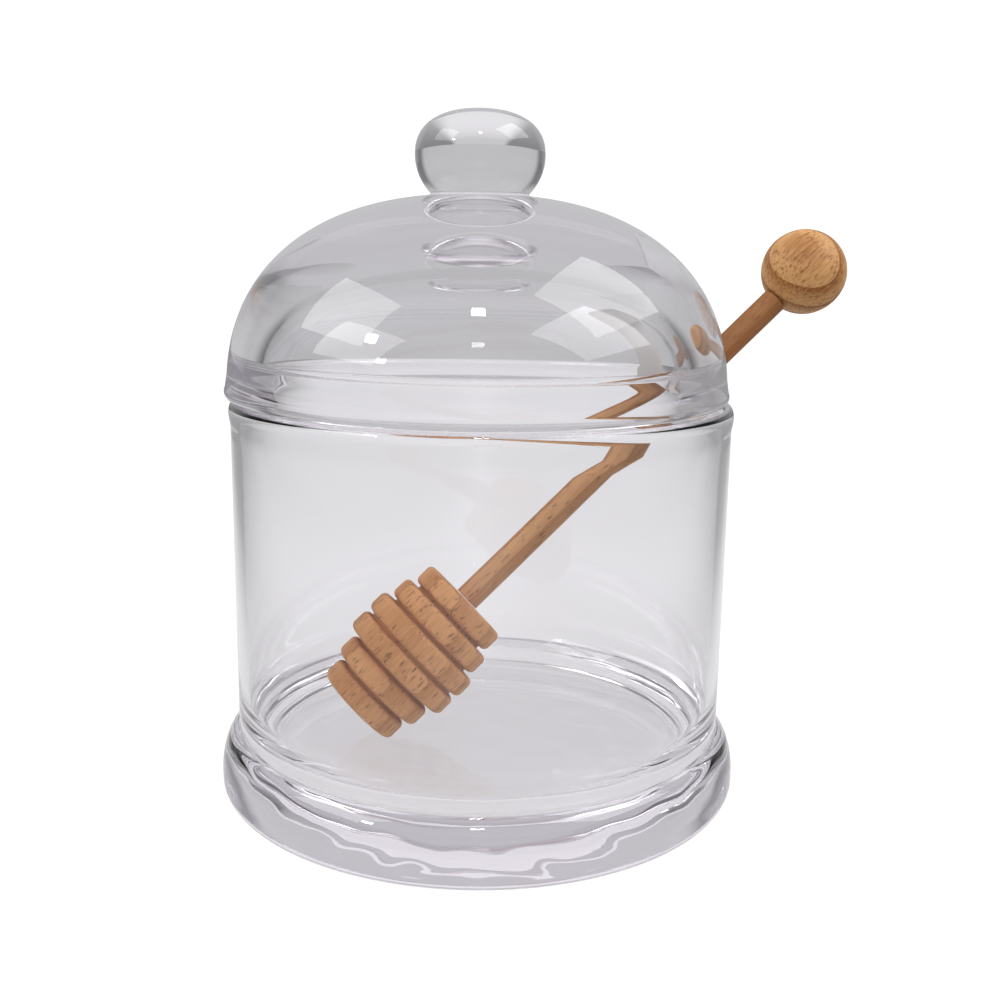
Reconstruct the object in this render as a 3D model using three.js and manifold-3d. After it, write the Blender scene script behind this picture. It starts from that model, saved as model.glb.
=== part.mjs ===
// A glass honey jar with a domed, knobbed lid and a turned wooden dipper.
// Millimetres, +Z up. The origin is the middle of the jar's underside, on the table.

import * as THREE from 'three';
import { mergeVertices } from 'three/addons/utils/BufferGeometryUtils.js';
import Module from 'manifold-3d';

const wasm = await Module();
wasm.setup();

// Driving dimensions of the jar's wall, rim and floor.
const WALL_RADIUS = 55;
const WALL_THICKNESS = 2.2;
const RIM_HEIGHT = 88;
const RIM_BEAD = 0.4;
const RIM_ROUND = 2.6;
const FLOOR_HEIGHT = 10.9;
const FLOOR_RADIUS = 44;
const FLOOR_FILLET_HEIGHT = 13;

// Driving dimensions of the jar's foot. Its shoulder falls from the wall to the widest ring.
const FOOT_RADIUS = 59;
const FOOT_LOWER_ROUND = 3;
const FOOT_WIDEST_HEIGHT = 4.5;
const FOOT_SHOULDER_WIDTH = 5;
const FOOT_SHOULDER_HEIGHT = 9.5;

// Driving dimensions of the lid's band, collar and dome.
const LID_SHIFT = -1;
const LID_RADIUS = 55.2;
const LID_LIP_ROUND = 1.8;
const LID_LIP_HEIGHT = 5.4;
const LID_LIP_END_DEGREES = 30;
const DOME_RADIUS = 54.7;
const DOME_HEIGHT = 44;
const DOME_SQUARENESS = { side: 2.36, crown: 2.36 };
const DOME_INNER_RADIUS = 47.4;
const DOME_INNER_SQUARENESS = { side: 2.6, crown: 2.3 };
const CROWN_THICKNESS = 11.5;
const DOME_CROWN_RADIUS = 3;
const BAND_INNER_RADIUS = 46;
const BAND_HEIGHT = 7.5;
const BAND_EDGE = 0.6;
const COLLAR_RADIUS = 51.2;
const COLLAR_DEPTH = 2.2;
const COLLAR_EDGE = 0.8;

// Driving dimensions of the lid's neck and knob.
const NECK_RADIUS = 10.5;
const NECK_FILLET = 1;
const KNOB_RADIUS = 14;
const KNOB_WIDEST_HEIGHT = 140;
const KNOB_LOWER_HEIGHT = 12.3;
const NECK_FILLET_FROM_DEGREES = -100;
const NECK_FILLET_TO_DEGREES = -170;
const KNOB_SQUARENESS = { side: 2.35, crown: 2.35 };
const LID_TOP = 149.6;

// Driving dimensions of the notch that lets the dipper out.
const NOTCH_AZIMUTH = THREE.MathUtils.degToRad(17.5);
const NOTCH_HALF_WIDTH = 9.5;
const NOTCH_BOTTOM = 78;
const NOTCH_TOP = 116;
const NOTCH_CORNER = 5;
const NOTCH_START_RADIUS = 30;
const NOTCH_REACH = 40;

// Driving dimensions of the dipper, from its tip to its ball.
const DISC_RADII = [10.4, 12, 14.3, 14.5, 13, 11.4];
const DISC_PITCH = 5.88;
const DISC_THICKNESS = 5.1;
const DISC_ROUND = 1.35;
const GROOVE_DEPTH = 1.8;
const ROD_RADIUS = 3;
const BALL_RADIUS = 10;
const TIP_CENTRE = new THREE.Vector3(-25.95, -8, 20.1);
const RIM_CROSSING_AZIMUTH = THREE.MathUtils.degToRad(17.7);
const ROD_RISE_OVER_RIM = 3.6;
const TIP_TO_BALL = 144.2;

// Clearance between pieces that touch.
const GAP = 0.3;

// Facets round each turned piece, and the steps along its curves.
const GLASS_FACETS = 64;
const HEAD_FACETS = 28;
const ROD_FACETS = 20;
const BALL_RINGS = 12;
const NOTCH_CORNER_FACETS = 6;
const DOME_STEPS = 14;
const INNER_DOME_STEPS = 11;
const KNOB_STEPS = 6;
const SHOULDER_STEPS = 6;
const FLOOR_FILLET_STEPS = 7;
const RIM_STEPS = 6;
const ROUND_STEPS = 3;
const DISC_ROUND_STEPS = 2;

const glass = new THREE.MeshStandardMaterial({ color: 0xe6e8ea, roughness: 0.03, metalness: 0 });
const headWood = new THREE.MeshStandardMaterial({ color: 0xd6a373, roughness: 0.6, metalness: 0 });
const rodWood = new THREE.MeshStandardMaterial({ color: 0xc69265, roughness: 0.6, metalness: 0 });
const ballWood = new THREE.MeshStandardMaterial({ color: 0xc8935f, roughness: 0.55, metalness: 0 });

// Points on an elliptical arc in the (radius, height) half-plane, both ends included.
function arc(centreR, centreZ, radiusR, radiusZ, fromDegrees, toDegrees, steps) {
  const points = [];
  for (let i = 0; i <= steps; i += 1) {
    const angle = THREE.MathUtils.degToRad(fromDegrees + ((toDegrees - fromDegrees) * i) / steps);
    const r = centreR + radiusR * Math.cos(angle);
    const z = centreZ + radiusZ * Math.sin(angle);
    points.push(new THREE.Vector2(Math.max(r, 0), z));
  }
  return points;
}

// The angle at which an arc from the axis reaches a given share of its radius.
function reachDegrees(share) {
  return THREE.MathUtils.radToDeg(Math.acos(share));
}

// A turned solid about +Z from a profile of (radius, height) points that starts and ends on the axis.
function turned(profile, facets) {
  const geometry = new THREE.LatheGeometry(profile, facets);
  geometry.rotateX(Math.PI / 2);
  return geometry;
}

function toManifold(geometry) {
  const bare = geometry.clone();
  bare.deleteAttribute('normal');
  bare.deleteAttribute('uv');
  const merged = mergeVertices(bare, 1e-4);
  const vertProperties = new Float32Array(merged.attributes.position.array);
  const triVerts = new Uint32Array(merged.index.array);
  return new wasm.Manifold(new wasm.Mesh({ numProp: 3, vertProperties, triVerts }));
}

function fromManifold(solid) {
  const mesh = solid.getMesh();
  const geometry = new THREE.BufferGeometry();
  geometry.setAttribute('position', new THREE.BufferAttribute(new Float32Array(mesh.vertProperties), 3));
  geometry.setIndex(new THREE.BufferAttribute(new Uint32Array(mesh.triVerts), 1));
  geometry.computeVertexNormals();
  return geometry;
}

// The foot's outline, from its rounded lower edge up over the shoulder to the wall.
function footOutline() {
  const shoulderCentre = FOOT_RADIUS - FOOT_SHOULDER_WIDTH;
  const shoulderEnd = reachDegrees((WALL_RADIUS - shoulderCentre) / FOOT_SHOULDER_WIDTH);
  return [
    ...arc(FOOT_RADIUS - FOOT_LOWER_ROUND, FOOT_LOWER_ROUND, FOOT_LOWER_ROUND, FOOT_LOWER_ROUND, -90, 0,
      ROUND_STEPS),
    ...arc(shoulderCentre, FOOT_WIDEST_HEIGHT, FOOT_SHOULDER_WIDTH, FOOT_SHOULDER_HEIGHT, 0, shoulderEnd,
      SHOULDER_STEPS),
  ];
}

// The jar: a straight thin wall with a beaded rim, on a thick flared foot.
function jarGeometry() {
  const innerRadius = WALL_RADIUS - WALL_THICKNESS;
  const rimMiddle = RIM_HEIGHT - RIM_ROUND;
  const rimHalf = (WALL_THICKNESS + RIM_BEAD) / 2;
  const profile = [
    new THREE.Vector2(0, 0),
    ...footOutline(),
    new THREE.Vector2(WALL_RADIUS, rimMiddle - RIM_ROUND),
    ...arc(innerRadius + rimHalf, rimMiddle, rimHalf, RIM_ROUND, 0, 180, RIM_STEPS),
    ...arc(FLOOR_RADIUS, FLOOR_HEIGHT + FLOOR_FILLET_HEIGHT, innerRadius - FLOOR_RADIUS,
      FLOOR_FILLET_HEIGHT, 0, -90, FLOOR_FILLET_STEPS),
    new THREE.Vector2(0, FLOOR_HEIGHT),
  ];
  return turned(profile, GLASS_FACETS);
}

// One side of a swelling outline as a superellipse, from its widest height up to the given radius.
function swellOutline(base, radius, height, squareness, untilRadius, steps) {
  const points = [];
  const sidePower = 2 / squareness.side;
  const crownPower = 2 / squareness.crown;
  const last = Math.acos((untilRadius / radius) ** (1 / crownPower));
  for (let i = 0; i <= steps; i += 1) {
    const angle = (last * i) / steps;
    const r = radius * Math.max(Math.cos(angle), 0) ** crownPower;
    const z = base + height * Math.sin(angle) ** sidePower;
    points.push(new THREE.Vector2(r, z));
  }
  return points;
}

// The band's inside and the collar under it, from the dome's inner wall round to the seat.
function bandOutline(seat) {
  const top = seat + BAND_HEIGHT;
  const bottom = seat - COLLAR_DEPTH;
  return [
    new THREE.Vector2(BAND_INNER_RADIUS + BAND_EDGE, top),
    new THREE.Vector2(BAND_INNER_RADIUS, top - BAND_EDGE),
    new THREE.Vector2(BAND_INNER_RADIUS, bottom + COLLAR_EDGE),
    new THREE.Vector2(BAND_INNER_RADIUS + COLLAR_EDGE, bottom),
    new THREE.Vector2(COLLAR_RADIUS - COLLAR_EDGE, bottom),
    new THREE.Vector2(COLLAR_RADIUS, bottom + COLLAR_EDGE),
    new THREE.Vector2(COLLAR_RADIUS, seat),
  ];
}

// The neck's fillet and the knob, from the dome's shoulder up to the top.
function knobOutline(shoulder) {
  const knobStart = -reachDegrees(NECK_RADIUS / KNOB_RADIUS);
  const upperHeight = LID_TOP - KNOB_WIDEST_HEIGHT;
  return [
    ...arc(NECK_RADIUS + NECK_FILLET, shoulder + NECK_FILLET, NECK_FILLET, NECK_FILLET,
      NECK_FILLET_FROM_DEGREES, NECK_FILLET_TO_DEGREES, ROUND_STEPS),
    ...arc(0, KNOB_WIDEST_HEIGHT, KNOB_RADIUS, KNOB_LOWER_HEIGHT, knobStart, 0, KNOB_STEPS).slice(0, -1),
    ...swellOutline(KNOB_WIDEST_HEIGHT, KNOB_RADIUS, upperHeight, KNOB_SQUARENESS, 0, KNOB_STEPS + 1),
  ];
}

// The lid: a thick band with a locating collar below it, a dome, a short neck and a knob.
function lidGeometry() {
  const seat = RIM_HEIGHT + GAP;
  const neckEnd = NECK_RADIUS + NECK_FILLET;
  const outer = swellOutline(RIM_HEIGHT, DOME_RADIUS, DOME_HEIGHT, DOME_SQUARENESS, neckEnd, DOME_STEPS)
    .filter((point) => point.y > seat + LID_LIP_HEIGHT);
  const inner = swellOutline(RIM_HEIGHT, DOME_INNER_RADIUS, DOME_HEIGHT - CROWN_THICKNESS,
    DOME_INNER_SQUARENESS, DOME_CROWN_RADIUS, INNER_DOME_STEPS)
    .filter((point) => point.y > seat + BAND_HEIGHT + BAND_EDGE)
    .reverse();
  const profile = [
    new THREE.Vector2(0, inner[0].y),
    ...inner,
    ...bandOutline(seat),
    ...arc(LID_RADIUS - LID_LIP_ROUND, seat + LID_LIP_ROUND, LID_LIP_ROUND, LID_LIP_ROUND, -90,
      LID_LIP_END_DEGREES, ROUND_STEPS),
    ...outer,
    ...knobOutline(outer[outer.length - 1].y),
  ];
  return turned(profile, GLASS_FACETS);
}

// The block that cuts the notch: a round-cornered arch run outwards through the lid's wall.
function notchGeometry() {
  const side = NOTCH_HALF_WIDTH;
  const cornerX = side - NOTCH_CORNER;
  const cornerY = NOTCH_TOP - NOTCH_CORNER;
  const shape = new THREE.Shape();
  shape.moveTo(-side, NOTCH_BOTTOM);
  shape.lineTo(side, NOTCH_BOTTOM);
  shape.lineTo(side, cornerY);
  shape.absarc(cornerX, cornerY, NOTCH_CORNER, 0, Math.PI / 2, false);
  shape.absarc(-cornerX, cornerY, NOTCH_CORNER, Math.PI / 2, Math.PI, false);
  shape.closePath();
  const geometry = new THREE.ExtrudeGeometry(shape, {
    depth: NOTCH_REACH, bevelEnabled: false, curveSegments: NOTCH_CORNER_FACETS,
  });
  geometry.rotateX(Math.PI / 2);
  geometry.rotateZ(Math.PI / 2);
  geometry.translate(NOTCH_START_RADIUS, 0, 0);
  geometry.rotateZ(NOTCH_AZIMUTH);
  return geometry;
}

function notchedLidGeometry() {
  return fromManifold(toManifold(lidGeometry()).subtract(toManifold(notchGeometry())));
}

// The dipper's head: six round-edged discs parted by narrow grooves, turned from one piece.
function headGeometry() {
  const half = DISC_THICKNESS / 2;
  const flat = half - DISC_ROUND;
  const grooveFloor = (index) => Math.min(DISC_RADII[index], DISC_RADII[index + 1]) - GROOVE_DEPTH;
  const profile = [new THREE.Vector2(0, -half)];
  DISC_RADII.forEach((radius, index) => {
    const middle = index * DISC_PITCH;
    const centre = radius - DISC_ROUND;
    if (index > 0) {
      profile.push(new THREE.Vector2(grooveFloor(index - 1), middle - half));
    }
    profile.push(...arc(centre, middle - flat, DISC_ROUND, DISC_ROUND, -90, 0, DISC_ROUND_STEPS));
    profile.push(...arc(centre, middle + flat, DISC_ROUND, DISC_ROUND, 0, 90, DISC_ROUND_STEPS));
    if (index < DISC_RADII.length - 1) {
      profile.push(new THREE.Vector2(grooveFloor(index), middle + half));
    }
  });
  profile.push(new THREE.Vector2(0, (DISC_RADII.length - 1) * DISC_PITCH + half));
  return turned(profile, HEAD_FACETS);
}

function rodGeometry() {
  const start = (DISC_RADII.length - 1) * DISC_PITCH + DISC_THICKNESS / 2 + GAP;
  const end = TIP_TO_BALL - BALL_RADIUS - GAP;
  return turned([
    new THREE.Vector2(0, start),
    new THREE.Vector2(ROD_RADIUS, start),
    new THREE.Vector2(ROD_RADIUS, end),
    new THREE.Vector2(0, end),
  ], ROD_FACETS);
}

function ballGeometry() {
  const geometry = new THREE.SphereGeometry(BALL_RADIUS, ROD_FACETS, BALL_RINGS);
  geometry.rotateX(Math.PI / 2);
  geometry.translate(0, 0, TIP_TO_BALL);
  return geometry;
}

function mesh(name, geometry, material) {
  const piece = new THREE.Mesh(geometry, material);
  piece.name = name;
  return piece;
}

// The dipper stands on its tip inside the jar and leans on the rim in the lid's notch.
function dipper() {
  const innerRadius = WALL_RADIUS - WALL_THICKNESS;
  const crossing = new THREE.Vector3(
    innerRadius * Math.cos(RIM_CROSSING_AZIMUTH),
    innerRadius * Math.sin(RIM_CROSSING_AZIMUTH),
    RIM_HEIGHT + ROD_RISE_OVER_RIM,
  );
  const direction = crossing.clone().sub(TIP_CENTRE).normalize();
  const group = new THREE.Group();
  group.add(mesh('dipper_head', headGeometry(), headWood));
  group.add(mesh('dipper_rod', rodGeometry(), rodWood));
  group.add(mesh('dipper_ball', ballGeometry(), ballWood));
  group.quaternion.setFromUnitVectors(new THREE.Vector3(0, 0, 1), direction);
  group.position.copy(TIP_CENTRE);
  return group;
}

const honeyJar = new THREE.Group();
honeyJar.add(mesh('jar', jarGeometry(), glass));
const lid = mesh('lid', notchedLidGeometry(), glass);
lid.position.set(LID_SHIFT, 0, 0);
honeyJar.add(lid);
honeyJar.add(dipper());

export default honeyJar;
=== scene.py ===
"""A clear glass honey jar with a notched dome lid and a turned beech dipper.

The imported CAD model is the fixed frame. Each of its solids is replaced by a finer piece of the
same size, turned by one Geometry Nodes tree and dressed with procedural glass or beech.
"""

import logging
import math
from dataclasses import dataclass
from enum import Enum

import bmesh
import bpy
from mathutils import Matrix, Vector

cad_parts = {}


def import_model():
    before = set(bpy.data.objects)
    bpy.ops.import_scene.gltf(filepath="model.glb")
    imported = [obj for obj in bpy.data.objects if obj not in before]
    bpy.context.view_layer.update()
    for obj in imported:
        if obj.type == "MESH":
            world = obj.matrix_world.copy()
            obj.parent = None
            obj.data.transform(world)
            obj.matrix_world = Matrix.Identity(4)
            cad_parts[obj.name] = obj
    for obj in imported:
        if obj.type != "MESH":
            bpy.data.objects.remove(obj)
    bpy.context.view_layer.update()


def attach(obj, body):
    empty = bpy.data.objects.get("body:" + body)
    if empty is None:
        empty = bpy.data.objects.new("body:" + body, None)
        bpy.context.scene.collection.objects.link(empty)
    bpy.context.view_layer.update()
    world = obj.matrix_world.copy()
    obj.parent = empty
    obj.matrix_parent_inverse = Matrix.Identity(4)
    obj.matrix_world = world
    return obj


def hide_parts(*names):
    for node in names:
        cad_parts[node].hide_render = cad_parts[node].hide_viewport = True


LOG = logging.getLogger("honey_jar")
MM = 0.001
BODY = "root"
SHARP_ANGLE = math.radians(32)
MERGE_DISTANCE = 1e-6
# At a scale of 1, the Wave Texture repeats every 0.314 units.
WAVE_SPACING = 0.314
SEED = 7

Point = tuple[float, float]
Colour = tuple[float, float, float]


class Slot(Enum):
    """The record's material slots."""

    GLASS = "clear_glass"
    HEAD = "head_wood"
    ROD = "rod_wood"
    BALL = "ball_wood"


def arc(centre: Point, radii: Point, start: float, end: float, steps: int) -> list[Point]:
    """Points on an elliptical arc in the (radius, height) half-plane.

    Args:
        centre: Middle of the ellipse, in millimetres.
        radii: Its half width and half height.
        start: First angle, in degrees from the outward direction.
        end: Last angle, in degrees.
        steps: Number of straight pieces.

    Returns:
        The points in order, both ends included.
    """
    points = []
    for i in range(steps + 1):
        angle = math.radians(start + (end - start) * i / steps)
        radius = max(centre[0] + radii[0] * math.cos(angle), 0.0)
        points.append((radius, centre[1] + radii[1] * math.sin(angle)))
    return points


def straight(start: Point, end: Point, steps: int) -> list[Point]:
    """Even points between two profile points.

    Args:
        start: First point, in millimetres.
        end: Last point.
        steps: Number of pieces.

    Returns:
        The points between the two ends, without the ends.
    """
    return [
        (start[0] + (end[0] - start[0]) * i / steps, start[1] + (end[1] - start[1]) * i / steps)
        for i in range(1, steps)
    ]


def reach_degrees(share: float) -> float:
    """The angle at which an arc from the axis reaches a share of its radius."""
    return math.degrees(math.acos(share))


def maths(tree: bpy.types.NodeTree, operation: str, *values: object) -> bpy.types.NodeSocket:
    """Adds a Math node.

    Args:
        tree: The tree to add it to.
        operation: The node's operation.
        values: Its inputs, each a socket or a number.

    Returns:
        The node's output.
    """
    node = tree.nodes.new("ShaderNodeMath")
    node.operation = operation
    for socket, value in zip(node.inputs, values):
        if isinstance(value, float):
            socket.default_value = value
        else:
            tree.links.new(value, socket)
    return node.outputs[0]


def ranged(
    tree: bpy.types.NodeTree,
    value: bpy.types.NodeSocket,
    source: Point,
    target: Point,
    smooth: bool = False,
) -> bpy.types.NodeSocket:
    """Maps one range of a value onto another, clamped.

    Args:
        tree: The tree to add to.
        value: The value.
        source: The range it comes from.
        target: The range it goes to.
        smooth: Whether the change eases in and out.

    Returns:
        The mapped value.
    """
    node = tree.nodes.new("ShaderNodeMapRange")
    if smooth:
        node.interpolation_type = "SMOOTHSTEP"
    node.inputs["From Min"].default_value, node.inputs["From Max"].default_value = source
    node.inputs["To Min"].default_value, node.inputs["To Max"].default_value = target
    tree.links.new(value, node.inputs["Value"])
    return node.outputs["Result"]


def split_axes(tree: bpy.types.NodeTree, vector: bpy.types.NodeSocket) -> bpy.types.NodeOutputs:
    """Splits a coordinate into its X, Y and Z.

    Args:
        tree: The tree to add to.
        vector: The coordinate.

    Returns:
        The three outputs by their names.
    """
    node = tree.nodes.new("ShaderNodeSeparateXYZ")
    tree.links.new(vector, node.inputs[0])
    return node.outputs


def show_eye(
    tree: bpy.types.NodeTree,
    others: bpy.types.NodeSocket,
    eye: bpy.types.NodeSocket,
    sink: bpy.types.NodeSocket,
) -> None:
    """Shows one shader to the camera and another to every other ray.

    Args:
        tree: The tree to add to.
        others: The shader that every other ray meets.
        eye: The shader that the camera sees.
        sink: The output node's socket.
    """
    path = tree.nodes.new("ShaderNodeLightPath")
    mix = tree.nodes.new("ShaderNodeMixShader")
    tree.links.new(path.outputs["Is Camera Ray"], mix.inputs["Fac"])
    tree.links.new(others, mix.inputs[1])
    tree.links.new(eye, mix.inputs[2])
    tree.links.new(mix.outputs[0], sink)


@dataclass(frozen=True)
class TurnedTree:
    """The Geometry Nodes tree that turns a profile about +Z, with its sockets' identifiers."""

    tree: bpy.types.NodeTree
    facets: str
    wobble: str
    wobble_size: str
    material: str

    @classmethod
    def build(cls) -> "TurnedTree":
        """Builds the tree.

        Returns:
            The tree with the identifiers of its named inputs.
        """
        tree = bpy.data.node_groups.new("turned_solid", "GeometryNodeTree")
        face = tree.interface
        face.new_socket("Profile", in_out="INPUT", socket_type="NodeSocketGeometry")
        facets = face.new_socket("Facets", in_out="INPUT", socket_type="NodeSocketInt")
        wobble = face.new_socket("Wobble", in_out="INPUT", socket_type="NodeSocketFloat")
        size = face.new_socket("Wobble Size", in_out="INPUT", socket_type="NodeSocketFloat")
        material = face.new_socket("Material", in_out="INPUT", socket_type="NodeSocketMaterial")
        face.new_socket("Solid", in_out="OUTPUT", socket_type="NodeSocketGeometry")
        add, link = tree.nodes.new, tree.links.new
        source = add("NodeGroupInput")
        sink = add("NodeGroupOutput")
        rolled = cls._rolled(tree, source.outputs["Profile"], source.outputs["Facets"])
        uneven = cls._uneven(tree, rolled, source.outputs["Wobble"], source.outputs["Wobble Size"])
        merge = add("GeometryNodeMergeByDistance")
        merge.inputs["Distance"].default_value = MERGE_DISTANCE
        link(uneven, merge.inputs["Geometry"])
        real = add("GeometryNodeRealizeInstances")
        link(merge.outputs[0], real.inputs[0])
        dress = add("GeometryNodeSetMaterial")
        link(real.outputs[0], dress.inputs["Geometry"])
        link(source.outputs["Material"], dress.inputs["Material"])
        link(dress.outputs[0], sink.inputs[0])
        return cls(tree, facets.identifier, wobble.identifier, size.identifier, material.identifier)

    @staticmethod
    def _rolled(
        tree: bpy.types.NodeTree, profile: bpy.types.NodeSocket, facets: bpy.types.NodeSocket
    ) -> bpy.types.NodeSocket:
        """Rolls a grid up about +Z, with a row for each profile point and a column for each facet.

        Args:
            tree: The tree to add to.
            profile: The profile's points, in the XZ plane.
            facets: Facets round the axis.

        Returns:
            The rolled surface, its seam and poles still open.
        """
        add, link = tree.nodes.new, tree.links.new
        size = add("GeometryNodeAttributeDomainSize")
        link(profile, size.inputs["Geometry"])
        rows = size.outputs["Point Count"]
        grid = add("GeometryNodeMeshGrid")
        link(maths(tree, "ADD", facets, 1.0), grid.inputs["Vertices X"])
        link(rows, grid.inputs["Vertices Y"])
        index = add("GeometryNodeInputIndex").outputs[0]
        row = maths(tree, "MODULO", index, rows)
        column = maths(tree, "FLOOR", maths(tree, "DIVIDE", index, rows))
        turn = maths(tree, "MULTIPLY", maths(tree, "DIVIDE", column, facets), math.tau)
        sample = add("GeometryNodeSampleIndex")
        sample.data_type = "FLOAT_VECTOR"
        link(profile, sample.inputs["Geometry"])
        link(add("GeometryNodeInputPosition").outputs[0], sample.inputs["Value"])
        link(row, sample.inputs["Index"])
        spin = add("ShaderNodeVectorRotate")
        spin.rotation_type = "Z_AXIS"
        link(sample.outputs[0], spin.inputs["Vector"])
        link(turn, spin.inputs["Angle"])
        rolled = add("GeometryNodeSetPosition")
        link(grid.outputs["Mesh"], rolled.inputs["Geometry"])
        link(spin.outputs["Vector"], rolled.inputs["Position"])
        return rolled.outputs[0]

    @classmethod
    def _uneven(
        cls,
        tree: bpy.types.NodeTree,
        surface: bpy.types.NodeSocket,
        wobble: bpy.types.NodeSocket,
        wobble_size: bpy.types.NodeSocket,
    ) -> bpy.types.NodeSocket:
        """Moves a turned surface in and out a little, as a hand-finished piece is.

        Args:
            tree: The tree to add to.
            surface: The turned surface.
            wobble: Peak to peak unevenness of the radius.
            wobble_size: Size of that unevenness.

        Returns:
            The uneven surface.
        """
        add, link = tree.nodes.new, tree.links.new
        noise = add("ShaderNodeTexNoise")
        noise.noise_dimensions = "4D"
        noise.inputs["W"].default_value = float(SEED)
        noise.inputs["Detail"].default_value = 1.0
        link(maths(tree, "DIVIDE", 1.0, wobble_size), noise.inputs["Scale"])
        centred = maths(tree, "SUBTRACT", noise.outputs[0], 0.5)
        place = add("GeometryNodeInputPosition").outputs[0]
        outward = cls._vector(tree, "MULTIPLY", place, (1.0, 1.0, 0.0))
        outward = cls._vector(tree, "NORMALIZE", outward)
        offset = add("ShaderNodeVectorMath")
        offset.operation = "SCALE"
        link(outward, offset.inputs[0])
        link(maths(tree, "MULTIPLY", centred, wobble), offset.inputs["Scale"])
        moved = add("GeometryNodeSetPosition")
        link(surface, moved.inputs["Geometry"])
        link(offset.outputs[0], moved.inputs["Offset"])
        return moved.outputs[0]

    @staticmethod
    def _vector(
        tree: bpy.types.NodeTree, operation: str, first: bpy.types.NodeSocket, second: object = None
    ) -> bpy.types.NodeSocket:
        """Adds a Vector Math node.

        Args:
            tree: The tree to add it to.
            operation: The node's operation.
            first: Its first input.
            second: The constant of its second input, if it has one.

        Returns:
            The node's output.
        """
        node = tree.nodes.new("ShaderNodeVectorMath")
        node.operation = operation
        tree.links.new(first, node.inputs[0])
        if second is not None:
            node.inputs[1].default_value = second
        return node.outputs[0]

    def turn(
        self,
        name: str,
        profile: list[Point],
        material: bpy.types.Material,
        facets: int,
        wobble: float = 0.0,
        wobble_size: float = 20.0,
        place: Matrix | None = None,
    ) -> bpy.types.Object:
        """Turns a profile into a plain closed mesh object at the origin.

        Args:
            name: The piece's name.
            profile: Points of (radius, height) in millimetres, from axis to axis.
            material: The finish.
            facets: Facets round the axis.
            wobble: Peak to peak unevenness of the radius, in millimetres.
            wobble_size: Size of that unevenness, in millimetres.
            place: Where the solid goes, applied to its mesh.

        Returns:
            The new object, linked to the scene.
        """
        line = bpy.data.meshes.new(name + "_profile")
        corners = [(r * MM, 0.0, z * MM) for r, z in profile]
        line.from_pydata(corners, [(i, i + 1) for i in range(len(corners) - 1)], [])
        draft = bpy.data.objects.new(name + "_draft", line)
        bpy.context.scene.collection.objects.link(draft)
        modifier = draft.modifiers.new("turned", "NODES")
        modifier.node_group = self.tree
        modifier[self.facets] = facets
        modifier[self.wobble] = wobble * MM
        modifier[self.wobble_size] = wobble_size * MM
        modifier[self.material] = material
        draft.update_tag()
        graph = bpy.context.evaluated_depsgraph_get()
        mesh = bpy.data.meshes.new_from_object(draft.evaluated_get(graph))
        bpy.data.objects.remove(draft)
        bpy.data.meshes.remove(line)
        mesh.name = name
        if place is not None:
            mesh.transform(place)
        face_outwards(mesh)
        piece = bpy.data.objects.new(name, mesh)
        bpy.context.scene.collection.objects.link(piece)
        return piece


def face_outwards(mesh: bpy.types.Mesh) -> None:
    """Turns a closed mesh's faces outwards and smooths all but its sharp edges.

    Args:
        mesh: The mesh to mend.
    """
    edit = bmesh.new()
    edit.from_mesh(mesh)
    bmesh.ops.recalc_face_normals(edit, faces=edit.faces)
    if edit.calc_volume(signed=True) < 0:
        bmesh.ops.reverse_faces(edit, faces=edit.faces)
    edit.to_mesh(mesh)
    edit.free()
    mesh.shade_smooth()
    mesh.set_sharp_from_angle(angle=SHARP_ANGLE)


@dataclass(frozen=True)
class ClearGlass:
    """Polished soda-lime glass, faintly wavy, with a breath of haze."""

    name: str
    tint: Colour
    body: Colour = (0.97, 0.91, 1.0)
    density: float = 5.0
    index: float = 1.5
    haze: float = 0.012
    haze_patches: Point = (0.45, 0.75)
    wave_size: float = 9.0
    wave_depth: float = 0.012
    foot_heights: Point = (8.0, 15.0)
    foot_waves: float = 7.0

    def build(self) -> bpy.types.Material:
        """Builds the node material.

        Returns:
            The material.
        """
        material = bpy.data.materials.new(self.name)
        material.use_nodes = True
        tree = material.node_tree
        add, link = tree.nodes.new, tree.links.new
        shader = tree.nodes["Principled BSDF"]
        shader.inputs["Base Color"].default_value = (*self.tint, 1.0)
        shader.inputs["Transmission Weight"].default_value = 1.0
        shader.inputs["IOR"].default_value = self.index
        coordinates = add("ShaderNodeTexCoord")
        waves = add("ShaderNodeTexNoise")
        waves.inputs["Scale"].default_value = 1.0 / (self.wave_size * MM)
        waves.inputs["Detail"].default_value = 0.0
        link(coordinates.outputs["Object"], waves.inputs["Vector"])
        height = split_axes(tree, coordinates.outputs["Object"])["Z"]
        foot = tuple(edge * MM for edge in self.foot_heights)
        growth = ranged(tree, height, foot, (self.foot_waves, 1.0))
        bump = add("ShaderNodeBump")
        bump.inputs["Strength"].default_value = 1.0
        bump.inputs["Distance"].default_value = self.wave_depth * MM
        link(maths(tree, "MULTIPLY", waves.outputs["Fac"], growth), bump.inputs["Height"])
        link(bump.outputs["Normal"], shader.inputs["Normal"])
        smudge = ranged(tree, waves.outputs["Fac"], self.haze_patches, (0.0, self.haze))
        link(smudge, shader.inputs["Roughness"])
        body = add("ShaderNodeVolumeAbsorption")
        body.inputs["Color"].default_value = (*self.body, 1.0)
        body.inputs["Density"].default_value = self.density
        link(body.outputs["Volume"], tree.nodes["Material Output"].inputs["Volume"])
        return material


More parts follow.
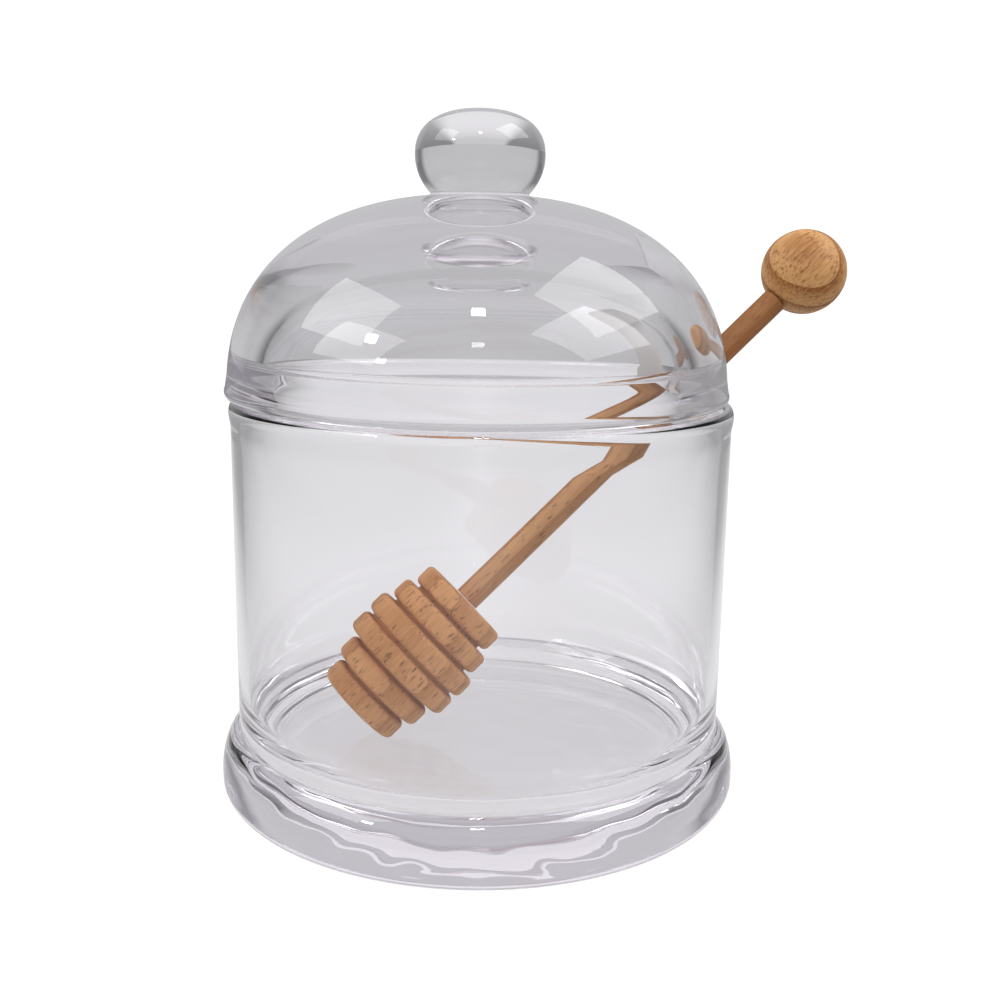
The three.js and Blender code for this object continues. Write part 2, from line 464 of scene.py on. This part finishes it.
@dataclass(frozen=True)
class Beech:
    """Turned beech: growth rings and fibres along the piece, with short dark ray flecks.

    Sizes are in millimetres. A stretch is how much slower a pattern runs along the grain than
    across it, and a range is the part of a pattern's values that is drawn from pale to deep.
    """

    name: str
    place: Matrix
    pale: Colour
    deep: Colour
    fleck: Colour
    grain_range: Point = (0.15, 0.85)
    ring_centre: Point = (9.0, 21.0)
    ring_size: float = 4.2
    ring_stretch: float = 0.12
    ring_bend: float = 2.2
    ring_range: Point = (0.35, 1.0)
    ring_share: float = 0.55
    fibre_width: float = 0.5
    fibre_stretch: float = 0.07
    fibre_range: Point = (0.32, 0.68)
    fibre_relief: float = 0.12
    relief_strength: float = 0.4
    fleck_width: float = 0.85
    fleck_stretch: float = 0.24
    fleck_edge: Point = (0.14, 0.38)
    fleck_sway: float = 1.1
    sway_size: float = 2.5
    patch_size: float = 3.2
    patch_range: Point = (0.4, 0.56)
    patch_share: float = 0.85
    specular: float = 0.3
    gloss_range: Point = (0.3, 0.7)
    roughness: Point = (0.47, 0.65)
    # Where the painted shade in the grooves between the discs falls, and how strong it is.
    groove_pitch: float = 0.0
    groove_edge: float = 0.0
    groove_blur: Point = (-0.45, 0.1)
    groove_count: int = 0
    groove_share: float = 0.9
    # Painted shade along the piece: darker towards the ball end, from shade_from to shade_to millimetres.
    shade_from: float = 0.0
    shade_to: float = 0.0
    shade_share: float = 0.75
    # The colour of the painted shade, in the grooves and along the rod towards the ball.
    painted_shade: Colour = (0.22, 0.075, 0.016)

    def build(self) -> bpy.types.Material:
        """Builds the node material, its grain along the local Z of the piece.

        Returns:
            The material.
        """
        material = bpy.data.materials.new(self.name)
        material.use_nodes = True
        tree = material.node_tree
        add, link = tree.nodes.new, tree.links.new
        shader = tree.nodes["Principled BSDF"]
        shader.inputs["Specular IOR Level"].default_value = self.specular
        coordinates = add("ShaderNodeTexCoord")
        mapping = add("ShaderNodeMapping")
        mapping.vector_type = "TEXTURE"
        mapping.inputs["Location"].default_value = self.place.to_translation()
        mapping.inputs["Rotation"].default_value = self.place.to_euler()
        link(coordinates.outputs["Object"], mapping.inputs["Vector"])
        local = mapping.outputs["Vector"]

        fibres = add("ShaderNodeTexNoise")
        fibres.inputs["Scale"].default_value = 1.0 / (self.fibre_width * MM)
        fibres.inputs["Detail"].default_value = 4.0
        link(self._stretched(tree, local, self.fibre_stretch), fibres.inputs["Vector"])
        fibre = ranged(tree, fibres.outputs["Fac"], self.fibre_range, (0.0, 1.0))
        depth = self._mixed(tree, fibre, self._rings(tree, local), self.ring_share)
        depth = ranged(tree, depth, self.grain_range, (0.0, 1.0))
        colour = self._blended(tree, (*self.pale, 1.0), self.deep, depth)
        # Painted shade: the rod darkens towards its ball end, standing in for the shade on its outer part
        # near the ball.
        if self.shade_to > self.shade_from:
            span = (self.shade_from * MM, self.shade_to * MM)
            ball_end_shade = ranged(tree, split_axes(tree, local)["Z"], span, (0.0, self.shade_share))
            colour = self._blended(tree, colour, self.painted_shade, ball_end_shade)
        # Painted shade: the grooves between the discs are mixed towards the painted shade colour.
        if self.groove_count:
            colour = self._blended(tree, colour, self.painted_shade, self._groove_shade(tree, local))
        colour = self._blended(tree, colour, self.fleck, self._flecks(tree, local))
        link(colour, shader.inputs["Base Color"])
        rough = ranged(tree, fibres.outputs["Fac"], self.gloss_range, self.roughness)
        link(rough, shader.inputs["Roughness"])
        bump = add("ShaderNodeBump")
        bump.inputs["Strength"].default_value = self.relief_strength
        bump.inputs["Distance"].default_value = self.fibre_relief * MM
        link(fibres.outputs["Fac"], bump.inputs["Height"])
        link(bump.outputs["Normal"], shader.inputs["Normal"])
        return material

    def _rings(self, tree: bpy.types.NodeTree, local: bpy.types.NodeSocket) -> bpy.types.NodeSocket:
        """Growth rings round the tree's own axis, beside the piece.

        Args:
            tree: The tree to add to.
            local: The coordinate along the piece.

        Returns:
            How deep in colour the ring is.
        """
        aside = tree.nodes.new("ShaderNodeMapping")
        centre_x, centre_y = self.ring_centre
        aside.inputs["Location"].default_value = (-centre_x * MM, -centre_y * MM, 0.0)
        aside.inputs["Scale"].default_value = (1.0, 1.0, self.ring_stretch)
        tree.links.new(local, aside.inputs["Vector"])
        rings = tree.nodes.new("ShaderNodeTexWave")
        rings.wave_type = "RINGS"
        rings.rings_direction = "Z"
        rings.wave_profile = "SAW"
        rings.inputs["Scale"].default_value = WAVE_SPACING / (self.ring_size * MM)
        rings.inputs["Distortion"].default_value = self.ring_bend
        rings.inputs["Detail"].default_value = 1.5
        rings.inputs["Detail Scale"].default_value = 0.5
        tree.links.new(aside.outputs["Vector"], rings.inputs["Vector"])
        return ranged(tree, rings.outputs["Fac"], self.ring_range, (0.0, 1.0))

    def _flecks(self, tree: bpy.types.NodeTree, local: bpy.types.NodeSocket) -> bpy.types.NodeSocket:
        """Short dark ray flecks along the grain, thick in some places and rare in others.

        Args:
            tree: The tree to add to.
            local: The coordinate along the piece.

        Returns:
            How strong the fleck is.
        """
        bent = tree.nodes.new("ShaderNodeTexNoise")
        bent.inputs["Scale"].default_value = 1.0 / (self.sway_size * MM)
        tree.links.new(local, bent.inputs["Vector"])
        swayed = tree.nodes.new("ShaderNodeVectorMath")
        swayed.operation = "MULTIPLY_ADD"
        swayed.inputs[1].default_value = (self.fleck_sway * MM,) * 3
        tree.links.new(bent.outputs["Color"], swayed.inputs[0])
        tree.links.new(local, swayed.inputs[2])
        cells = tree.nodes.new("ShaderNodeTexVoronoi")
        cells.inputs["Scale"].default_value = 1.0 / (self.fleck_width * MM)
        drawn = self._stretched(tree, swayed.outputs["Vector"], self.fleck_stretch)
        tree.links.new(drawn, cells.inputs["Vector"])
        spot = ranged(tree, cells.outputs["Distance"], self.fleck_edge, (1.0, 0.0))
        patches = tree.nodes.new("ShaderNodeTexNoise")
        patches.inputs["Scale"].default_value = 1.0 / (self.patch_size * MM)
        tree.links.new(local, patches.inputs["Vector"])
        strong = ranged(tree, patches.outputs["Fac"], self.patch_range, (0.0, self.patch_share))
        return maths(tree, "MULTIPLY", spot, strong)

    def _groove_shade(self, tree: bpy.types.NodeTree, local: bpy.types.NodeSocket) -> bpy.types.NodeSocket:
        """Painted shade in the turned grooves between the discs, drawn as a darker colour.

        Args:
            tree: The tree to add to.
            local: The coordinate along the piece, nought at the first disc's middle.

        Returns:
            How far a place is in a groove.
        """
        along = split_axes(tree, local)["Z"]
        folded = maths(tree, "PINGPONG", along, self.groove_pitch / 2 * MM)
        edge = tuple((self.groove_edge + blur) * MM for blur in self.groove_blur)
        deep = ranged(tree, folded, edge, (0.0, self.groove_share))
        inside = ranged(tree, along, (-MM, 0.0), (0.0, 1.0))
        last = self.groove_count * self.groove_pitch * MM
        before = ranged(tree, along, (last, last + MM), (1.0, 0.0))
        return maths(tree, "MULTIPLY", maths(tree, "MULTIPLY", inside, before), deep)

    @staticmethod
    def _blended(
        tree: bpy.types.NodeTree, first: object, second: tuple[float, ...], factor: bpy.types.NodeSocket
    ) -> bpy.types.NodeSocket:
        """Mixes two colours.

        Args:
            tree: The tree to add to.
            first: The first colour, a socket or four numbers.
            second: The second colour.
            factor: How much of the second there is.

        Returns:
            The mixed colour.
        """
        node = tree.nodes.new("ShaderNodeMix")
        node.data_type = "RGBA"
        if isinstance(first, tuple):
            node.inputs["A"].default_value = first
        else:
            tree.links.new(first, node.inputs["A"])
        node.inputs["B"].default_value = (*second, 1.0)
        tree.links.new(factor, node.inputs["Factor"])
        return node.outputs["Result"]

    @staticmethod
    def _stretched(
        tree: bpy.types.NodeTree, vector: bpy.types.NodeSocket, share: float
    ) -> bpy.types.NodeSocket:
        """Draws a pattern out along the grain.

        Args:
            tree: The tree to add to.
            vector: The coordinate.
            share: How much slower it runs along the grain than across.

        Returns:
            The scaled coordinate.
        """
        node = tree.nodes.new("ShaderNodeMapping")
        node.inputs["Scale"].default_value = (1.0, 1.0, share)
        tree.links.new(vector, node.inputs["Vector"])
        return node.outputs["Vector"]

    @staticmethod
    def _mixed(
        tree: bpy.types.NodeTree, first: bpy.types.NodeSocket, second: bpy.types.NodeSocket, share: float
    ) -> bpy.types.NodeSocket:
        """Mixes two values.

        Args:
            tree: The tree to add to.
            first: The first value.
            second: The second value.
            share: How much of the second there is.

        Returns:
            The mixed value.
        """
        node = tree.nodes.new("ShaderNodeMix")
        node.inputs["Factor"].default_value = share
        tree.links.new(first, node.inputs["A"])
        tree.links.new(second, node.inputs["B"])
        return node.outputs["Result"]


def settle(piece: bpy.types.Object, node: str) -> None:
    """Ties a finished piece to the frame in place of a CAD node.

    Args:
        piece: The finished piece.
        node: The CAD node it stands for.
    """
    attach(piece, BODY)
    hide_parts(node)
    LOG.info("%s: %d faces, for node %s", piece.name, len(piece.data.polygons), node)


@dataclass
class Jar:
    """The jar: a straight thin wall with a beaded rim, on a thick flared foot."""

    wall_radius: float = 55.0
    wall_thickness: float = 2.2
    rim_height: float = 88.0
    rim_bead: float = 0.4
    rim_round: float = 2.6
    floor_height: float = 10.9
    floor_radius: float = 44.0
    floor_fillet: float = 13.0
    foot_radius: float = 59.0
    foot_lower_round: float = 3.0
    foot_widest: float = 4.5
    shoulder_width: float = 5.0
    shoulder_height: float = 9.5
    facets: int = 320

    def profile(self) -> list[Point]:
        """Draws the jar's outline.

        Returns:
            The points from the middle of the underside, round the rim, to the middle of the floor.
        """
        inner = self.wall_radius - self.wall_thickness
        rim_middle = self.rim_height - self.rim_round
        half = (self.wall_thickness + self.rim_bead) / 2
        centre = self.foot_radius - self.shoulder_width
        end = reach_degrees((self.wall_radius - centre) / self.shoulder_width)
        lower = self.foot_radius - self.foot_lower_round
        foot = arc((lower, self.foot_lower_round), (self.foot_lower_round,) * 2, -90, 0, 10)
        shoulder = arc((centre, self.foot_widest), (self.shoulder_width, self.shoulder_height), 0, end, 20)
        wall_top = (self.wall_radius, rim_middle - self.rim_round)
        rim = arc((inner + half, rim_middle), (half, self.rim_round), 0, 180, 20)
        fillet = arc(
            (self.floor_radius, self.floor_height + self.floor_fillet),
            (inner - self.floor_radius, self.floor_fillet), 0, -90, 28,
        )
        return [
            (0.0, 0.0), *straight((0.0, 0.0), foot[0], 12), *foot, *shoulder,
            *straight(shoulder[-1], wall_top, 24), wall_top, *rim,
            *straight(rim[-1], fillet[0], 22), *fillet,
            *straight(fillet[-1], (0.0, self.floor_height), 12), (0.0, self.floor_height),
        ]

    def build(self, tree: TurnedTree, glass: bpy.types.Material) -> bpy.types.Object:
        """Turns the jar and ties it to the frame.

        Args:
            tree: The turning tree.
            glass: The finish.

        Returns:
            The jar.
        """
        piece = tree.turn("jar_glass", self.profile(), glass, self.facets)
        settle(piece, "jar")
        return piece


@dataclass
class Lid:
    """The lid: a thick band with a locating collar, a dome, a short neck and a knob, notched."""

    seat: float = 88.3
    shift: float = -1.0
    radius: float = 55.2
    lip_round: float = 1.8
    lip_height: float = 5.4
    dome_base: float = 88.0
    dome_radius: float = 54.7
    dome_height: float = 44.0
    squareness: Point = (2.36, 2.36)
    inner_radius: float = 47.4
    inner_squareness: Point = (2.3, 2.6)
    crown_thickness: float = 11.5
    crown_radius: float = 0.8
    band_inner: float = 46.0
    band_height: float = 7.5
    band_edge: float = 0.6
    collar_radius: float = 51.2
    collar_depth: float = 2.2
    collar_edge: float = 0.8
    neck_radius: float = 10.5
    neck_fillet: float = 1.0
    knob_radius: float = 14.0
    knob_widest: float = 140.0
    knob_lower: float = 12.3
    knob_squareness: Point = (2.35, 2.35)
    top: float = 149.6
    notch_azimuth: float = 17.5
    notch_half_width: float = 9.5
    notch_bottom: float = 78.0
    notch_top: float = 116.0
    notch_corner: float = 5.0
    notch_reach: Point = (30.0, 70.0)
    facets: int = 288

    @staticmethod
    def swell(
        base: float, radius: float, height: float, squareness: Point, until: float, steps: int
    ) -> list[Point]:
        """A quarter of a superellipse, such as one side of the dome.

        Args:
            base: The height of its base.
            radius: Its radius at the base.
            height: Its height over the base.
            squareness: Its exponents at the crown and at the base, both 2 for an ellipse.
            until: The radius at which it stops.
            steps: Number of pieces.

        Returns:
            The points from the base up.
        """
        across, upward = (2 / exponent for exponent in squareness)
        last = math.acos((until / radius) ** (1 / across))
        return [
            (
                radius * max(math.cos(last * i / steps), 0.0) ** across,
                base + height * math.sin(last * i / steps) ** upward,
            )
            for i in range(steps + 1)
        ]

    def inner_dome(self) -> list[Point]:
        """Draws the dome's inner side.

        Returns:
            The points from the crown down to the band.
        """
        height = self.dome_height - self.crown_thickness
        side = self.swell(
            self.dome_base, self.inner_radius, height, self.inner_squareness, self.crown_radius, 90
        )
        return [p for p in reversed(side) if p[1] > self.seat + self.band_height + self.band_edge]

    def outer_dome(self) -> list[Point]:
        """Draws the dome's outer side.

        Returns:
            The points from the lip up to the neck.
        """
        until = self.neck_radius + self.neck_fillet
        side = self.swell(
            self.dome_base, self.dome_radius, self.dome_height, self.squareness, until, 90
        )
        return [p for p in side if p[1] > self.seat + self.lip_height]

    def profile(self) -> list[Point]:
        """Draws the lid's outline.

        Returns:
            The points from the crown's inside, round the band, to the top of the knob.
        """
        inner, outer = self.inner_dome(), self.outer_dome()
        band_top, collar = self.seat + self.band_height, self.seat - self.collar_depth
        edge, hem = self.band_edge, self.collar_edge
        shoulder = outer[-1][1]
        start = -reach_degrees(self.neck_radius / self.knob_radius)
        fillet, lip = self.neck_fillet, self.lip_round
        return [
            (0.0, inner[0][1]), *inner,
            *arc((self.band_inner + edge, band_top - edge), (edge, edge), 90, 180, 5),
            *straight((self.band_inner, band_top - edge), (self.band_inner, collar + hem), 6),
            *arc((self.band_inner + hem, collar + hem), (hem, hem), 180, 270, 5),
            *arc((self.collar_radius - hem, collar + hem), (hem, hem), -90, 0, 5),
            (self.collar_radius, self.seat),
            *arc((self.radius - lip, self.seat + lip), (lip, lip), -90, 30, 10),
            *outer,
            *arc((self.neck_radius + fillet, shoulder + fillet), (fillet, fillet), -100, -170, 7),
            *arc((0.0, self.knob_widest), (self.knob_radius, self.knob_lower), start, 0, 14),
            *self.swell(
                self.knob_widest, self.knob_radius, self.top - self.knob_widest,
                self.knob_squareness, 0.0, 30,
            )[1:],
        ]

    def cutter(self) -> bpy.types.Object:
        """The block that cuts the notch.

        Returns:
            The block as an object that takes no part in the scene.
        """
        side, corner = self.notch_half_width, self.notch_corner
        shoulder = arc((side - corner, self.notch_top - corner), (corner, corner), 0, 90, 12)
        outline = [(-side, self.notch_bottom), (side, self.notch_bottom), *shoulder]
        outline += [(-x, z) for x, z in reversed(shoulder)]
        count = len(outline)
        corners = [(x, y, z) for x in self.notch_reach for y, z in outline]
        faces = [tuple(range(count)), tuple(range(2 * count - 1, count - 1, -1))]
        faces += [(i, i + count, (i + 1) % count + count, (i + 1) % count) for i in range(count)]
        mesh = bpy.data.meshes.new("notch")
        mesh.from_pydata(corners, [], faces)
        mesh.transform(
            Matrix.Translation((self.shift * MM, 0.0, 0.0))
            @ Matrix.Rotation(math.radians(self.notch_azimuth), 4, "Z")
            @ Matrix.Scale(MM, 4)
        )
        face_outwards(mesh)
        block = bpy.data.objects.new("notch", mesh)
        bpy.context.scene.collection.objects.link(block)
        return block

    def build(self, tree: TurnedTree, glass: bpy.types.Material) -> bpy.types.Object:
        """Turns the lid, cuts its notch and ties it to the frame.

        Args:
            tree: The turning tree.
            glass: The finish.

        Returns:
            The lid.
        """
        place = Matrix.Translation((self.shift * MM, 0.0, 0.0))
        piece = tree.turn("lid_glass", self.profile(), glass, self.facets, place=place)
        block = self.cutter()
        cut = piece.modifiers.new("notch", "BOOLEAN")
        cut.operation, cut.solver, cut.object = "DIFFERENCE", "EXACT", block
        graph = bpy.context.evaluated_depsgraph_get()
        mesh = bpy.data.meshes.new_from_object(piece.evaluated_get(graph))
        piece.modifiers.remove(cut)
        piece.data = mesh
        bpy.data.objects.remove(block)
        face_outwards(mesh)
        settle(piece, "lid")
        return piece


@dataclass
class Dipper:
    """The dipper: a turned head of six discs, a dowel and a ball, leaning on the rim."""

    disc_radii: tuple[float, ...] = (10.4, 12.0, 14.3, 14.5, 13.0, 11.4)
    pitch: float = 5.88
    disc_thickness: float = 5.1
    disc_round: float = 1.35
    groove_depth: float = 1.8
    rod_radius: float = 3.0
    ball_radius: float = 10.0
    tip: tuple[float, float, float] = (-25.95, -8.0, 20.1)
    crossing: tuple[float, float, float] = (50.3, 16.05, 91.6)
    tip_to_ball: float = 144.2
    gap: float = 0.3
    head_wobble: Point = (0.25, 9.0)
    rod_wobble: Point = (0.08, 14.0)
    ball_wobble: Point = (0.15, 8.0)
    head_facets: int = 144
    rod_facets: int = 64
    ball_facets: int = 96

    def place(self) -> Matrix:
        """Finds how the dipper stands on its tip and leans on the rim.

        Returns:
            The matrix from the dipper's own axis, upright on its tip, to the jar.
        """
        direction = (Vector(self.crossing) - Vector(self.tip)).normalized()
        turn = Vector((0.0, 0.0, 1.0)).rotation_difference(direction).to_matrix().to_4x4()
        return Matrix.Translation(Vector(self.tip) * MM) @ turn

    def head_profile(self) -> list[Point]:
        """Draws the head's outline, a row of round-edged discs on a core.

        Returns:
            The points from its tip face to the face that the dowel leaves.
        """
        half, edge = self.disc_thickness / 2, (self.disc_round, self.disc_round)
        flat = half - self.disc_round
        points: list[Point] = [(0.0, -half)]
        last = len(self.disc_radii) - 1
        for index, radius in enumerate(self.disc_radii):
            middle, centre = index * self.pitch, radius - self.disc_round
            if index > 0:
                points.append((min(radius, self.disc_radii[index - 1]) - self.groove_depth, middle - half))
            points += arc((centre, middle - flat), edge, -90, 0, 7)
            points += arc((centre, middle + flat), edge, 0, 90, 7)
            if index < last:
                points.append((min(radius, self.disc_radii[index + 1]) - self.groove_depth, middle + half))
        points.append((0.0, last * self.pitch + half))
        return points

    def rod_profile(self) -> list[Point]:
        """Draws the dowel's outline, just short of the head and of the ball.

        Returns:
            The points from the head's end to the ball's.
        """
        start = (len(self.disc_radii) - 1) * self.pitch + self.disc_thickness / 2 + self.gap
        end = self.tip_to_ball - self.ball_radius - self.gap
        first, last = (self.rod_radius, start), (self.rod_radius, end)
        return [(0.0, start), first, *straight(first, last, 60), last, (0.0, end)]

    def ball_profile(self) -> list[Point]:
        """The ball's outline, a half circle."""
        return arc((0.0, self.tip_to_ball), (self.ball_radius,) * 2, -90, 90, 64)

    def build(self, tree: TurnedTree, woods: dict[Slot, bpy.types.Material]) -> None:
        """Turns the three pieces and ties them to the frame.

        Args:
            tree: The turning tree.
            woods: The finish of each piece by its slot.
        """
        place = self.place()
        head = tree.turn(
            "dipper_head_turned", self.head_profile(), woods[Slot.HEAD],
            self.head_facets, *self.head_wobble, place,
        )
        settle(head, "dipper_head")
        rod = tree.turn(
            "dipper_dowel", self.rod_profile(), woods[Slot.ROD],
            self.rod_facets, *self.rod_wobble, place,
        )
        settle(rod, "dipper_rod")
        ball = tree.turn(
            "dipper_ball_turned", self.ball_profile(), woods[Slot.BALL],
            self.ball_facets, *self.ball_wobble, place,
        )
        settle(ball, "dipper_ball")


@dataclass(frozen=True)
class Lamp:
    """A rectangular area lamp that faces the jar.

    Its azimuth runs from the camera's side towards +X and its elevation from the horizon, in
    degrees. Its size, distance and aim are in metres, and its radiance is its face's brightness.
    """

    name: str
    azimuth: float
    elevation: float
    size: Point
    radiance: float
    distance: float = 0.8
    aim: float = 0.1

    def build(self) -> None:
        """Adds the lamp to the scene."""
        turn, rise = math.radians(self.azimuth), math.radians(self.elevation)
        away = Vector((math.sin(turn) * math.cos(rise), -math.cos(turn) * math.cos(rise), math.sin(rise)))
        data = bpy.data.lights.new(self.name, "AREA")
        data.shape = "RECTANGLE"
        data.size, data.size_y = self.size
        data.energy = math.pi * self.size[0] * self.size[1] * self.radiance
        light = bpy.data.objects.new(self.name, data)
        light.location = away * self.distance + Vector((0.0, 0.0, self.aim))
        light.rotation_euler = away.to_track_quat("Z", "Y").to_euler()
        bpy.context.scene.collection.objects.link(light)


SOFTBOXES = (
    Lamp("softbox_left", -72.0, 38.0, (0.5, 0.4), 3.0),
    Lamp("softbox_right", 80.0, 48.0, (0.6, 0.5), 3.0),
)
SMALL_LAMPS = (
    Lamp("lamp_front", 0.0, 50.0, (0.07, 0.07), 40.0),
    Lamp("lamp_left", -50.0, 28.0, (0.07, 0.07), 40.0),
)


@dataclass
class Studio:
    """The plain white studio: floor, soft light and the camera at the photograph's angle.

    The camera's place and sensor are in millimetres, its angles in radians, and the floor's
    lengths in metres.
    """

    camera_place: tuple[float, float, float] = (0.0, -265.74, 120.48)
    pitch: float = 0.2070
    yaw: float = -0.0163
    roll: float = 0.0151
    focal_share: float = 1.19525
    sensor: float = 36.0
    tent_colour: Colour = (0.985, 0.985, 1.0)
    back_level: float = 0.56
    side_level: float = 0.14
    ceiling_level: float = 0.5
    front_level: float = 0.35
    fill_level: float = 0.9
    behind_from: Point = (0.55, 0.72)
    above_from: Point = (0.32, 0.58)
    front_from: Point = (0.45, 0.8)
    white_level: float = 1.1
    floor_half: float = 3.0
    floor_drop: float = 0.0002
    floor_colour: Colour = (0.2, 0.2, 0.2)
    glow_colour: Colour = (0.99, 0.985, 1.0)
    glow_fan: float = 0.22
    glow_across: Point = (0.04, 0.2)
    glow_levels: Point = (0.62, 0.12)
    glow_along: Point = (0.45, 1.5)
    glow_fade: Point = (1.0, 0.72)
    bounces: int = 64
    glossy_bounces: int = 32

    def build(self) -> None:
        """Sets up the whole studio."""
        self.camera()
        self.world()
        self.floor()
        for lamp in (*SOFTBOXES, *SMALL_LAMPS):
            lamp.build()
        scene = bpy.context.scene
        scene.view_settings.view_transform = "Standard"
        scene.cycles.max_bounces = self.bounces
        scene.cycles.transmission_bounces = self.bounces
        scene.cycles.glossy_bounces = self.glossy_bounces

    def camera(self) -> None:
        """Places the camera that was fitted to the photograph's outlines."""
        yaw = Matrix.Rotation(self.yaw, 3, "Z")
        forward = yaw @ Vector((0.0, math.cos(self.pitch), -math.sin(self.pitch)))
        right = yaw @ Vector((1.0, 0.0, 0.0))
        up = right.cross(forward)
        turned_right = right * math.cos(self.roll) + up * math.sin(self.roll)
        turned_up = up * math.cos(self.roll) - right * math.sin(self.roll)
        data = bpy.data.cameras.new("camera")
        data.sensor_width = self.sensor
        data.lens = self.sensor * self.focal_share
        camera = bpy.data.objects.new("camera", data)
        turn = Matrix((turned_right, turned_up, -forward)).transposed().to_4x4()
        camera.matrix_world = Matrix.Translation(Vector(self.camera_place) * MM) @ turn
        bpy.context.scene.collection.objects.link(camera)
        bpy.context.scene.camera = camera

    def world(self) -> None:
        """White to the eye; a soft tent that is darker in front, for the glass."""
        world = bpy.data.worlds.new("studio")
        bpy.context.scene.world = world
        world.use_nodes = True
        tree = world.node_tree
        add, link = tree.nodes.new, tree.links.new
        tent = tree.nodes["Background"]
        direction = add("ShaderNodeTexCoord")
        axes = split_axes(tree, direction.outputs["Generated"])
        facing = maths(tree, "MULTIPLY", axes["Y"], -1.0)
        behind = ranged(tree, axes["Y"], self.behind_from, (self.side_level, self.back_level), True)
        above = ranged(tree, axes["Z"], self.above_from, (0.0, self.ceiling_level), True)
        front = ranged(tree, facing, self.front_from, (0.0, self.front_level), True)
        depth = add("ShaderNodeLightPath").outputs["Diffuse Depth"]
        fill = ranged(tree, depth, (0.0, 1.0), (0.0, self.fill_level), True)
        level = maths(tree, "MAXIMUM", behind, above)
        level = maths(tree, "MAXIMUM", level, front)
        link(maths(tree, "MAXIMUM", level, fill), tent.inputs["Strength"])
        tent.inputs["Color"].default_value = (*self.tent_colour, 1.0)
        white = add("ShaderNodeBackground")
        white.inputs["Color"].default_value = (1.0, 1.0, 1.0, 1.0)
        white.inputs["Strength"].default_value = self.white_level
        sink = tree.nodes["World Output"].inputs["Surface"]
        show_eye(tree, tent.outputs[0], white.outputs[0], sink)

    def floor(self) -> None:
        """Lays a plain pale floor just under the jar."""
        half, height = self.floor_half, -self.floor_drop
        mesh = bpy.data.meshes.new("floor")
        mesh.from_pydata(
            [(-half, -half, height), (half, -half, height), (half, half, height), (-half, half, height)],
            [], [(0, 1, 2, 3)],
        )
        mesh.materials.append(self.paper())
        floor = bpy.data.objects.new("floor", mesh)
        bpy.context.scene.collection.objects.link(floor)

    def paper(self) -> bpy.types.Material:
        """The floor's finish: white to the eye, grey to other rays and aglow behind the jar.

        Returns:
            The material.
        """
        material = bpy.data.materials.new("pale_floor")
        material.use_nodes = True
        tree = material.node_tree
        add, link = tree.nodes.new, tree.links.new
        shader = tree.nodes["Principled BSDF"]
        shader.inputs["Base Color"].default_value = (*self.floor_colour, 1.0)
        shader.inputs["Roughness"].default_value = 0.9
        shader.inputs["Specular IOR Level"].default_value = 0.0
        white = add("ShaderNodeEmission")
        white.inputs["Strength"].default_value = self.white_level
        axes = split_axes(tree, add("ShaderNodeTexCoord").outputs["Object"])
        aside = maths(tree, "ABSOLUTE", axes["X"])
        fanned = maths(tree, "MULTIPLY_ADD", axes["Y"], -self.glow_fan, aside)
        across = ranged(tree, fanned, self.glow_across, self.glow_levels, True)
        along = ranged(tree, axes["Y"], self.glow_along, self.glow_fade, True)
        glow = add("ShaderNodeEmission")
        glow.inputs["Color"].default_value = (*self.glow_colour, 1.0)
        link(maths(tree, "MULTIPLY", across, along), glow.inputs["Strength"])
        lit = add("ShaderNodeAddShader")
        link(shader.outputs[0], lit.inputs[0])
        link(glow.outputs[0], lit.inputs[1])
        sink = tree.nodes["Material Output"].inputs["Surface"]
        show_eye(tree, lit.outputs[0], white.outputs[0], sink)
        return material


def main() -> None:
    """Builds the jar, the lid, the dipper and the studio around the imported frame."""
    logging.basicConfig(level=logging.INFO, format="%(name)s: %(message)s")
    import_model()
    tree = TurnedTree.build()
    glass = ClearGlass("clear_glass", tint=(0.965, 0.96, 0.97)).build()
    dipper = Dipper()
    place = dipper.place()
    ball_place = place @ Matrix.Translation((0.0, 0.0, dipper.tip_to_ball * MM))
    woods = {
        Slot.HEAD: Beech(
            "head_beech", place,
            pale=(0.76, 0.375, 0.15), deep=(0.54, 0.225, 0.068), fleck=(0.24, 0.08, 0.022),
            # Painted shade in the grooves between the head's discs.
            groove_pitch=dipper.pitch, groove_edge=dipper.disc_thickness / 2,
            groove_count=len(dipper.disc_radii) - 1, painted_shade=(0.55, 0.22, 0.07),
        ).build(),
        Slot.ROD: Beech(
            "rod_beech", place,
            pale=(0.64, 0.34, 0.155), deep=(0.44, 0.20, 0.075), fleck=(0.24, 0.085, 0.025),
            # Painted shade along the rod towards the ball.
            shade_from=80.0, shade_to=112.0,
        ).build(),
        Slot.BALL: Beech(
            "ball_beech", ball_place,
            pale=(0.58, 0.31, 0.12), deep=(0.25, 0.085, 0.018), fleck=(0.19, 0.065, 0.015),
        ).build(),
    }
    Jar().build(tree, glass)
    Lid().build(tree, glass)
    dipper.build(tree, woods)
    Studio().build()


if __name__ == "__main__":
    main()
